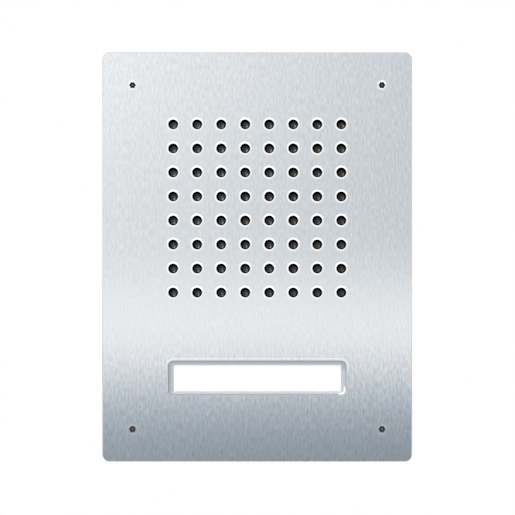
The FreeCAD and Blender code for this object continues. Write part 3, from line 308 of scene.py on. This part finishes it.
def screw_head():
    """Turned stainless heads. The six-lobe recess is painted near-black as painted shade; its pin is painted lighter, a
    painted highlight.
    """
    t = Material("screw_stainless", Metallic=1.0)
    x, y, z = t.split(t.here)
    dx = t.sub(t.math("ABSOLUTE", x), 0.05475)
    dz = t.sub(t.math("ABSOLUTE", z), 0.0755)
    r = t.math("SQRT", t.add(t.mul(dx, dx), t.mul(dz, dz)))
    rings = t.math("SINE", t.mul(r, 2 * math.pi / 0.00016))
    fine = t.noise(t.here, 2600.0, 2.0)
    deep = t.step(y, -0.002785, -0.002760)
    inner = t.step(r, 0.00153, 0.00149)
    dark = t.mul(deep, inner)
    pin = t.mul(t.step(r, 0.00052, 0.00048), t.step(y, -0.00266, -0.00269))
    # painted light and shade: the upper heads are painted brighter than the lower ones, and the mouths of their
    # recesses near-white on the upper heads and dark on the lower ones
    steel = t.mix(t.step(fine, 0.3, 0.7), t.mix(t.step(z, -0.01, 0.01), (0.54, 0.55, 0.565), (0.75, 0.76, 0.775)),
                  t.mix(t.step(z, -0.01, 0.01), (0.61, 0.62, 0.635), (0.84, 0.85, 0.865)))
    mouth_painted_light = t.mix(t.step(z, -0.01, 0.01), (0.38, 0.40, 0.43), (0.985, 0.985, 0.99))
    steel = t.mix(t.step(r, 0.00202, 0.00196), steel, mouth_painted_light)
    # painted shade: the recess is painted near-black, and on the lower heads a little less dark
    recess_painted_shade = t.mix(t.step(fine, 0.3, 0.7), (0.018, 0.019, 0.021), (0.035, 0.036, 0.038))
    lower_recess_painted_shade = t.mix(t.step(fine, 0.3, 0.7), (0.062, 0.064, 0.066), (0.092, 0.095, 0.098))
    recess_painted_shade = t.mix(t.step(z, -0.01, 0.01), lower_recess_painted_shade, recess_painted_shade)
    base = t.mix(dark, steel, t.mix(pin, recess_painted_shade, (0.16, 0.16, 0.17)))
    t.set(Base_Color=base, Roughness=t.add(t.mul(dark, 0.35), 0.22),
          Normal=t.bump(t.add(t.mul(rings, 0.5), t.mul(fine, 0.5)), 1.2e-6))
    return t.m


def guard():
    """Dark moulding behind the sound holes: a satin pad behind each hole, and moats round them painted black and made
    metallic so that they reflect nothing, as painted shade.
    """
    t = Material("guard_black_moulded", Specular_IOR_Level=0.4, IOR=1.45)
    x, y, z = t.split(t.here)
    # distance from the middle of the nearest pad
    u = t.mul(t.sub(t.math("FRACT", t.math("DIVIDE", t.add(x, 0.1055 - 0.00015), 0.01055)), 0.5), 0.01055)
    v = t.mul(t.sub(t.math("FRACT", t.math("DIVIDE", t.add(z, 0.1055 - 0.0214 + 0.0003), 0.01055)), 0.5), 0.01055)
    r = t.math("SQRT", t.add(t.mul(u, u), t.mul(v, v)))
    top = t.mul(t.step(r, 0.00142, 0.00136), t.step(y, -0.00045, -0.00055))
    fine = t.noise(t.here, 3200.0, 3.0, 0.6)
    wide = t.noise(t.here, 60.0, 2.0)
    satin = t.mix(t.step(wide, 0.3, 0.7), (0.010, 0.010, 0.012), (0.015, 0.015, 0.018))
    # painted shade: the moats are painted black and made metallic so that they reflect nothing
    t.set(Base_Color=t.mix(top, (0.0015, 0.0015, 0.0015), satin), Metallic=t.step(top, 0.0, 1.0, 1.0, 0.0),
          Roughness=t.add(t.step(fine, 0.3, 0.7, 0.20, 0.27), t.mul(t.sub(1.0, top), 0.4)), Normal=t.bump(fine, 2.5e-6))
    return t.m


def acrylic():
    t = Material("cap_clear_acrylic", Roughness=0.02, IOR=1.49, Transmission_Weight=1.0)
    haze = t.noise(t.here, 900.0, 3.0, 0.6)
    t.set(Base_Color=t.mix(t.step(haze, 0.3, 0.7), (0.975, 0.985, 0.99), (0.99, 0.995, 1.0)),
          Normal=t.bump(t.noise(t.here, 140.0, 1.0), 1.0e-6))
    return t.m


def label():
    """Matt white film with a hint of fibre. It glows a little by emission: painted light standing in for the lamps
    behind the button.
    """
    t = Material("label_white_film", Specular_IOR_Level=0.4)
    fibre = t.noise(t.scaled(t.here, 900.0, 900.0, 2600.0), 1.0, 3.0, 0.6, 0.5)
    wide = t.noise(t.here, 70.0, 2.0)
    # painted light: the film glows a little by emission, for the lamps behind the button
    t.set(Base_Color=t.mix(t.step(t.add(t.mul(fibre, 0.6), t.mul(wide, 0.4)), 0.3, 0.7), (0.925, 0.93, 0.935), (0.955, 0.96, 0.96)),
          Roughness=t.step(fibre, 0.3, 0.7, 0.45, 0.6), Normal=t.bump(fibre, 1.5e-6),
          Emission_Color=(1.0, 1.0, 1.0), Emission_Strength=0.30)
    return t.m


def frame_grey():
    """Satin grey frame of the button, painted paler towards its foot: painted light standing in for the strip's lamps.
    """
    t = Material("carrier_satin_grey", Specular_IOR_Level=0.5)
    x, y, z = t.split(t.here)
    fine = t.noise(t.here, 3300.0, 3.0, 0.62)
    wide = t.noise(t.here, 38.0, 3.0, 0.55, 0.6)
    foot = t.mul(t.step(y, -0.0028, -0.0019, 0.0, 1.0, "LINEAR"), t.step(y, 0.0, -0.001))
    # painted light and shade: the rim is paler along the bottom and down the right side, the foot paler still, most on
    # the left
    rim = t.mix(t.step(z, -0.0590, -0.0598), (0.245, 0.275, 0.310), (0.270, 0.300, 0.335))
    right = t.step(x, 0.0368, 0.0378)
    rim = t.mix(right, rim, (0.305, 0.338, 0.372))
    colour = t.mix(foot, rim, t.mix(right, (0.42, 0.445, 0.485), (0.335, 0.358, 0.392)))
    # painted shade darkens the moulding's upper right corner, and a painted glint lights the lower right one
    shade = t.mul(t.step(x, 0.0364, 0.0378), t.step(z, -0.0505, -0.0480))
    colour = t.mix(shade, colour, t.mix(1.0, colour, (0.72, 0.73, 0.75), "MULTIPLY"))
    # where the painted glint lies: a band inside the outer edge, low on the right
    edge = outside(t, x, z, 0.03892, 0.00752, 0.00212)
    band = t.mul(t.step(edge, -0.00105, -0.00085), t.step(edge, -0.00005, -0.00018))
    spot = t.mul(t.mul(t.step(x, 0.0350, 0.0368), t.step(z, -0.0560, -0.0580)), t.mul(band, t.step(y, 0.0, -0.0005)))
    colour = t.mix(spot, colour, (0.60, 0.63, 0.68))
    t.set(Base_Color=t.mix(t.step(wide, 0.3, 0.7), colour, t.mix(1.0, colour, (1.05, 1.05, 1.05), "MULTIPLY")),
          Roughness=t.step(t.add(t.mul(fine, 0.6), t.mul(wide, 0.4)), 0.3, 0.7, 0.25, 0.37), Normal=t.bump(fine, 3.0e-6))
    return t.m


def foam():
    t = Material("gasket_cell_foam", Specular_IOR_Level=0.25)
    cells = t.voronoi(t.here, 2600.0)
    wide = t.noise(t.here, 90.0, 3.0)
    t.set(Base_Color=t.mix(t.step(cells, 0.0, 0.7), (0.012, 0.012, 0.013), (0.055, 0.055, 0.058)),
          Roughness=t.step(wide, 0.3, 0.7, 0.85, 0.96), Normal=t.bump(cells, 6.0e-5, 0.8))
    return t.m


def cloth(name, warp, weft, pitch, rough=0.85):
    """Plain weave from two crossed sets of threads, in the plane of the wall."""
    t = Material(name, Specular_IOR_Level=0.3)
    k = 1.0 / (pitch * MM)
    x, y, z = t.split(t.here)
    a = t.math("SINE", t.mul(x, 2 * math.pi * k))
    b = t.math("SINE", t.mul(z, 2 * math.pi * k))
    over = t.mul(a, b)
    height = t.add(t.mul(over, 0.5), 0.5)
    fuzz = t.noise(t.here, 4.0 * k, 2.0)
    t.set(Base_Color=t.mix(t.step(over, -0.6, 0.6), t.mix(fuzz, warp, shades(warp, 1.5)), t.mix(fuzz, weft, shades(weft, 1.4))),
          Roughness=t.step(fuzz, 0.3, 0.7, rough - 0.05, rough + 0.08), Normal=t.bump(t.add(height, t.mul(fuzz, 0.3)), pitch * MM * 0.25))
    return t.m


def board():
    """Green solder mask over copper tracks, with fine glass weave in the gloss."""
    t = Material("board_solder_mask", Specular_IOR_Level=0.5, Coat_Weight=0.25, Coat_Roughness=0.1)
    x, y, z = t.split(t.here)
    n = t.nt.nodes.new("ShaderNodeTexBrick")
    n.offset = 0.5
    t.put(n.inputs["Vector"], t.vec(x, z, 0.0))
    for k, v in (("Scale", 130.0), ("Mortar Size", 0.035), ("Mortar Smooth", 0.2), ("Bias", 0.0), ("Brick Width", 1.1), ("Row Height", 0.33)):
        t.put(n.inputs[k], v)
    tracks = t.sub(1.0, n.outputs["Fac"])
    spot = t.voronoi(t.here, 190.0)
    pads = t.step(spot, 0.16, 0.13)
    weave = t.mul(t.add(t.math("SINE", t.mul(x, 9000.0)), t.math("SINE", t.mul(z, 9000.0))), 0.5)
    copper = t.mix(tracks, (0.012, 0.10, 0.040), (0.020, 0.17, 0.070))
    t.set(Base_Color=t.mix(pads, copper, (0.62, 0.60, 0.52)), Metallic=t.mul(pads, 0.8),
          Roughness=t.add(t.mul(tracks, -0.06), 0.38), Normal=t.bump(t.add(t.add(tracks, t.mul(pads, 0.8)), t.mul(weave, 0.06)), 3.0e-5))
    return t.m


def turned(name, colour, pitch=0.12, rough=0.28, centre=(0.0, 0.0)):
    """Turned metal: fine rings round an axis along Y."""
    t = Material(name, Metallic=1.0)
    x, y, z = t.split(t.here)
    dx, dz = t.sub(x, centre[0]), t.sub(z, centre[1])
    r = t.math("SQRT", t.add(t.mul(dx, dx), t.mul(dz, dz)))
    rings = t.math("SINE", t.mul(r, 2 * math.pi / (pitch * MM)))
    cloud = t.noise(t.here, 240.0, 3.0, 0.6, 0.6)
    t.set(Base_Color=t.mix(t.step(cloud, 0.3, 0.7), shades(colour, 0.9), shades(colour, 1.08)),
          Roughness=t.step(cloud, 0.3, 0.7, rough - 0.05, rough + 0.1),
          Normal=t.bump(t.add(t.mul(rings, 0.5), t.noise(t.here, 2400.0, 2.0)), 2.0e-6))
    return t.m


def wound(name, colour):
    """Fine enamelled wire wound round an axis along Y."""
    t = Material(name, Metallic=1.0)
    x, y, z = t.split(t.here)
    turns = t.math("ABSOLUTE", t.math("SINE", t.mul(y, math.pi / 0.00014)))
    cloud = t.noise(t.here, 500.0, 2.0)
    t.set(Base_Color=t.mix(t.mul(turns, t.step(cloud, 0.2, 0.6, 0.7, 1.0)), shades(colour, 0.35), colour),
          Roughness=t.step(cloud, 0.3, 0.7, 0.22, 0.34), Normal=t.bump(turns, 6.0e-5))
    return t.m


def paper_cone():
    t = Material("cone_pressed_pulp", Specular_IOR_Level=0.3)
    x, y, z = t.split(t.here)
    dz = t.sub(z, 0.0214)
    r = t.math("SQRT", t.add(t.mul(x, x), t.mul(dz, dz)))
    ribs = t.math("SINE", t.mul(r, 2 * math.pi / 0.0031))
    pulp = t.noise(t.here, 1500.0, 4.0, 0.7)
    t.set(Base_Color=t.mix(t.step(pulp, 0.3, 0.7), (0.05, 0.05, 0.054), (0.095, 0.094, 0.098)),
          Roughness=t.step(pulp, 0.3, 0.7, 0.78, 0.92), Normal=t.bump(t.add(t.mul(ribs, 0.25), pulp), 4.0e-5))
    return t.m


def clear_epoxy():
    t = Material("led_clear_epoxy", Roughness=0.08, IOR=1.52, Transmission_Weight=0.85)
    haze = t.noise(t.here, 700.0, 2.0)
    t.set(Base_Color=t.mix(haze, (0.90, 0.92, 0.88), (0.97, 0.98, 0.95)), Normal=t.bump(haze, 3.0e-6))
    return t.m


def flush_box():
    """Thick-walled injection moulding: spark-eroded grain, flow lines and paler dusty patches."""
    t = Material("box_moulded_plastic", Specular_IOR_Level=0.45)
    x, y, z = t.split(t.here)
    grain = t.noise(t.here, 2200.0, 4.0, 0.68)
    pits = t.voronoi(t.here, 1500.0)
    flow = t.noise(t.scaled(t.here, 26.0, 60.0, 26.0), 1.0, 4.0, 0.6, 1.2)
    dust = t.noise(t.here, 120.0, 5.0, 0.7)
    base = t.mix(t.step(flow, 0.3, 0.7), (0.068, 0.072, 0.078), (0.088, 0.092, 0.099))
    base = t.mix(t.mul(t.step(dust, 0.45, 0.75), 0.30), base, (0.11, 0.115, 0.12))
    t.set(Base_Color=base, Roughness=t.step(t.add(t.mul(grain, 0.7), t.mul(flow, 0.3)), 0.3, 0.7, 0.50, 0.66),
          Normal=t.bump(t.add(grain, t.mul(pits, 0.5)), 1.6e-5))
    return t.m


slots = {
    "plate_steel": brushed_plate(),
    "screw_steel": screw_head(),
    "zinc_steel": metal("zinc_plated_steel", (0.70, 0.71, 0.72), 0.34, tint=(0.78, 0.77, 0.70)),
    "foam_black": foam(),
    "guard_black": guard(),
    "acoustic_cloth": cloth("acoustic_cloth_black", (0.018, 0.018, 0.020), (0.030, 0.030, 0.032), 0.30),
    "clear_acrylic": acrylic(),
    "label_white": label(),
    "carrier_grey": frame_grey(),
    "silicone_grey": rubber("seal_silicone", (0.13, 0.13, 0.14)),
    "spring_steel": turned("spring_wire_steel", (0.66, 0.67, 0.69), 0.2, 0.24),
    "housing_black": plastic("housing_moulded_black", (0.028, 0.029, 0.031), 0.50, 0.40, 1.0e-5, 0.12),
    "switch_black": plastic("switch_moulded_black", (0.030, 0.030, 0.031), 0.42, 0.30, 4e-6, 0.10),
    "plunger_white": plastic("plunger_moulded_white", (0.78, 0.78, 0.76), 0.38, 0.40, 3e-6, 0.03),
    "basket_steel": metal("basket_dark_coated", (0.20, 0.20, 0.21), 0.46, 0.6, 8e-6, 0.18),
    "magnet_ferrite": plastic("magnet_ferrite_grey", (0.060, 0.060, 0.063), 0.58, 0.25, 2.0e-5, 0.20),
    "yoke_steel": metal("yoke_yellow_zinc", (0.72, 0.66, 0.42), 0.33, 0.8, 4e-6, 0.10, tint=(0.66, 0.70, 0.62)),
    "cone_paper": paper_cone(),
    "surround_rubber": rubber("surround_soft_rubber", (0.020, 0.020, 0.021), 0.6),
    "spider_cloth": cloth("spider_resin_cloth", (0.42, 0.27, 0.10), (0.55, 0.36, 0.15), 0.35, 0.7),
    "coil_copper": wound("coil_enamelled_copper", (0.78, 0.36, 0.16)),
    "phenolic_brown": plastic("strip_phenolic", (0.22, 0.10, 0.035), 0.45, 0.5, 8e-6, 0.25),
    "mic_metal": turned("mic_drawn_can", (0.78, 0.79, 0.80), 0.2, 0.26, (0.036925, -0.015525)),
    "board_green": board(),
    "terminal_green": plastic("terminal_moulded_green", (0.035, 0.17, 0.075), 0.42, 0.35, 6e-6, 0.06),
    "brass_plain": metal("brass_turned", (0.80, 0.58, 0.25), 0.26, 0.5, 3e-6, 0.08),
    "trimmer_blue": plastic("trimmer_moulded_blue", (0.030, 0.10, 0.36), 0.40, 0.3, 4e-6, 0.08),
    "rotor_cream": plastic("rotor_moulded_cream", (0.78, 0.74, 0.60), 0.42, 0.3, 4e-6, 0.04),
    "relay_case": plastic("relay_gloss_black", (0.018, 0.020, 0.024), 0.22, 0.5, 2e-6, 0.12, coat=0.3),
    "transformer_core": plastic("core_ferrite_dark", (0.070, 0.068, 0.068), 0.52, 0.25, 1.5e-5, 0.18),
    "can_sleeve": plastic("capacitor_sleeve", (0.012, 0.018, 0.060), 0.26, 0.6, 2e-6, 0.10, coat=0.3),
    "chip_black": plastic("chip_moulded", (0.022, 0.022, 0.023), 0.62, 0.2, 8e-6, 0.12),
    "led_clear": clear_epoxy(),
    "connector_white": plastic("connector_moulded", (0.78, 0.76, 0.68), 0.40, 0.35, 4e-6, 0.04),
    "lead_red": plastic("lead_insulation_red", (0.45, 0.020, 0.016), 0.36, 0.5, 3e-6, 0.08),
    "lead_black": plastic("lead_insulation_black", (0.022, 0.022, 0.023), 0.36, 0.5, 3e-6, 0.12),
    "box_grey": flush_box(),
}
slot_of = {p["node"]: p["material_slot"] for p in frame["record"]["subparts"]}
for name, obj in NODES.items():
    obj.data.materials.clear()
    obj.data.materials.append(slots[slot_of[name]])
    for poly in obj.data.polygons:
        poly.material_index = 0


# ------------------------------------------------------------------ return springs as wound wire
def tube_mesh(name, points, radius, sides=12, caps=True):
    """A round tube through points, with frames carried along so that it doesn't twist."""
    bm = bmesh.new()
    rings = []
    up = Vector((0, 0, 1))
    for i, p in enumerate(points):
        a = points[max(i - 1, 0)]
        c = points[min(i + 1, len(points) - 1)]
        d = (c - a).normalized()
        up = (up - d * up.dot(d))
        up = up.normalized() if up.length > 1e-6 else d.orthogonal().normalized()
        side = d.cross(up)
        rings.append([bm.verts.new(p + (up * math.cos(q) + side * math.sin(q)) * radius)
                      for q in (2 * math.pi * k / sides for k in range(sides))])
    for a, c in zip(rings, rings[1:]):
        for k in range(sides):
            bm.faces.new((a[k], a[(k + 1) % sides], c[(k + 1) % sides], c[k]))
    if caps:
        bm.faces.new(rings[0][::-1])
        bm.faces.new(rings[-1])
    bmesh.ops.recalc_face_normals(bm, faces=bm.faces)
    me = bpy.data.meshes.new(name)
    bm.to_mesh(me)
    bm.free()
    for f in me.polygons:
        f.use_smooth = True
    return me


def join(name, meshes):
    bm = bmesh.new()
    for me in meshes:
        bm.from_mesh(me)
    out = bpy.data.meshes.new(name)
    bm.to_mesh(out)
    bm.free()
    for f in out.polygons:
        f.use_smooth = True
    return out


def piece(name, mesh, slot, body="root", *replaced):
    obj = bpy.data.objects.new(name, mesh)
    bpy.context.scene.collection.objects.link(obj)
    mesh.materials.append(slots[slot])
    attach(obj, body)
    if replaced:
        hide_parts(*replaced)
    return obj


def spring_points(cx, cz, y0, y1, r, wire, coils, start):
    """Compression spring with closed ends: the first and last turn lie flat."""
    pts, steps = [], int(coils * 28)
    lo, hi = y0 + wire / 2, y1 - wire / 2
    for i in range(steps + 1):
        t = i / steps
        turn = t * coils
        # closed end turns rise by one wire, the turns between share what is left
        end = wire * 1.02
        if turn < 1:
            y = lo + end * turn * turn * 0.9
        elif turn > coils - 1:
            q = coils - turn
            y = hi - end * q * q * 0.9
        else:
            y = lo + end * 0.9 + (hi - lo - 2 * end * 0.9) * (turn - 1) / (coils - 2)
        a = start + 2 * math.pi * turn
        pts.append(Vector((cx + r * math.cos(a), y, cz + r * math.sin(a))))
    return pts


lo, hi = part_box("button_springs")
spring_z = (lo.z + hi.z) / 2
wire_d, spring_r = 0.6 * MM, 2.78 * MM
spring_meshes = []
for sign, start in ((-1, 0.4), (1, 2.1)):
    pts = spring_points(sign * 21.0 * MM, spring_z, lo.y, hi.y, spring_r, wire_d, 6.5, start)
    spring_meshes.append(tube_mesh("wire", pts, wire_d / 2 * 0.98, 10))
springs = piece("return_springs", join("return_springs", spring_meshes), "spring_steel", "root", "button_springs")
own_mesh(springs)

# ------------------------------------------------------------------ floor
floor_mesh = bpy.data.meshes.new("floor")
bm = bmesh.new()
bmesh.ops.create_circle(bm, cap_ends=True, radius=1.95, segments=96)
bm.to_mesh(floor_mesh)
bm.free()
floor = bpy.data.objects.new("floor", floor_mesh)
floor.location = (0, 0, -0.5)
bpy.context.scene.collection.objects.link(floor)
ft = Material("floor_pale", Specular_IOR_Level=0.2)
speck = ft.noise(ft.here, 14.0, 3.0)
ft.set(Base_Color=ft.mix(ft.step(speck, 0.3, 0.7), (0.80, 0.80, 0.80), (0.84, 0.84, 0.84)), Roughness=ft.step(speck, 0.3, 0.7, 0.8, 0.9))
floor_mesh.materials.append(ft.m)

# ------------------------------------------------------------------ studio light
world = bpy.data.worlds.new("studio")
bpy.context.scene.world = world
world.use_nodes = True
w = Tree(world.node_tree)
for n in list(world.node_tree.nodes):
    world.node_tree.nodes.remove(n)
out = world.node_tree.nodes.new("ShaderNodeOutputWorld")
sky = world.node_tree.nodes.new("ShaderNodeBackground")
white = world.node_tree.nodes.new("ShaderNodeBackground")
pick = world.node_tree.nodes.new("ShaderNodeMixShader")
path = world.node_tree.nodes.new("ShaderNodeLightPath")
dx, dy, dz = w.split(world.node_tree.nodes.new("ShaderNodeTexCoord").outputs["Generated"])
# in front of the plate: a large soft screen, a little brighter upwards, with a brighter strip below its middle and a
# dim foot under that
height = w.ramp(w.step(dz, -0.30, 0.30, 0.0, 1.0, "LINEAR"), [((z + 0.30) / 0.60, v / 1.5) for z, v in (
    (-0.30, 0.15), (-0.15, 0.24), (-0.115, 0.41), (-0.095, 0.62), (-0.068, 1.28), (-0.036, 1.16), (0.0, 0.82), (0.15, 0.98), (0.30, 0.98))])
# how much the screen darkens to the right
lean = w.ramp(w.step(dz, -0.30, 0.30, 0.0, 1.0, "LINEAR"), [((z + 0.30) / 0.60, v / 2) for z, v in (
    (-0.30, 0.95), (-0.13, 1.00), (-0.068, 0.10), (-0.04, 0.0), (0.0, 1.10), (0.14, 1.75), (0.30, 1.40))])
across = w.sub(1.0, w.mul(w.mul(lean, 2.0), w.math("MINIMUM", w.math("MAXIMUM", dx, -0.42), 0.42)))
screen = w.mul(w.mul(height, 1.5), across)
ring = w.math("SQRT", w.add(w.mul(dx, dx), w.mul(dz, dz)))
front = w.mul(w.step(ring, 0.62, 0.34), w.step(dy, 0.0, -0.2))
# all round: a white room, lighter above and to the left, over a dim floor
around = w.add(w.ramp(w.step(dz, -1.0, 1.0, 0.0, 1.0, "LINEAR"), [(0.0, 0.50), (0.08, 0.93), (0.50, 0.91), (1.0, 0.94)]),
               w.mul(dx, 0.07))
level = w.add(w.mul(front, screen), w.mul(w.sub(1.0, front), around))
# the dim parts of the screen are bluish
cool = w.ramp(w.math("DIVIDE", screen, 1.5), [(v / 1.5, c) for v, c in (
    (0.0, (0.79, 1.04, 1.27)), (0.62, (0.88, 1.02, 1.165)), (0.75, (0.95, 1.01, 1.055)), (1.10, (1.0, 1.0, 1.0)))])
tint = w.mix(front, (1.0, 1.0, 1.0), cool)
w.put(sky.inputs["Color"], tint)
w.put(sky.inputs["Strength"], level)
white.inputs["Color"].default_value = (1, 1, 1, 1)
white.inputs["Strength"].default_value = 1.0
world.node_tree.links.new(path.outputs["Is Camera Ray"], pick.inputs[0])
world.node_tree.links.new(sky.outputs[0], pick.inputs[1])
world.node_tree.links.new(white.outputs[0], pick.inputs[2])
world.node_tree.links.new(pick.outputs[0], out.inputs[0])


def area(name, where, aim, size, power, colour=(1, 1, 1)):
    data = bpy.data.lights.new(name, "AREA")
    data.shape = "DISK"
    data.size = size
    data.energy = power
    data.color = colour
    o = bpy.data.objects.new(name, data)
    o.location = where
    o.rotation_euler = (Vector(aim) - Vector(where)).to_track_quat("-Z", "Y").to_euler()
    o.visible_camera = False
    bpy.context.scene.collection.objects.link(o)
    return o


key = area("key_upper_left", (-0.58, -1.27, 1.28), (0, 0, 0), 0.80, 34.0)
key.visible_glossy = False
# a small lamp that glints in the dished pads behind the sound holes, and lights nothing else
glint = area("glint_upper_left", (-0.25, -1.45, 0.42), (0, 0, 0.02), 0.20, 3.6)
only = bpy.data.collections.new("glint_receivers")
only.objects.link(NODES["poke_guard"])
glint.light_linking.receiver_collection = only
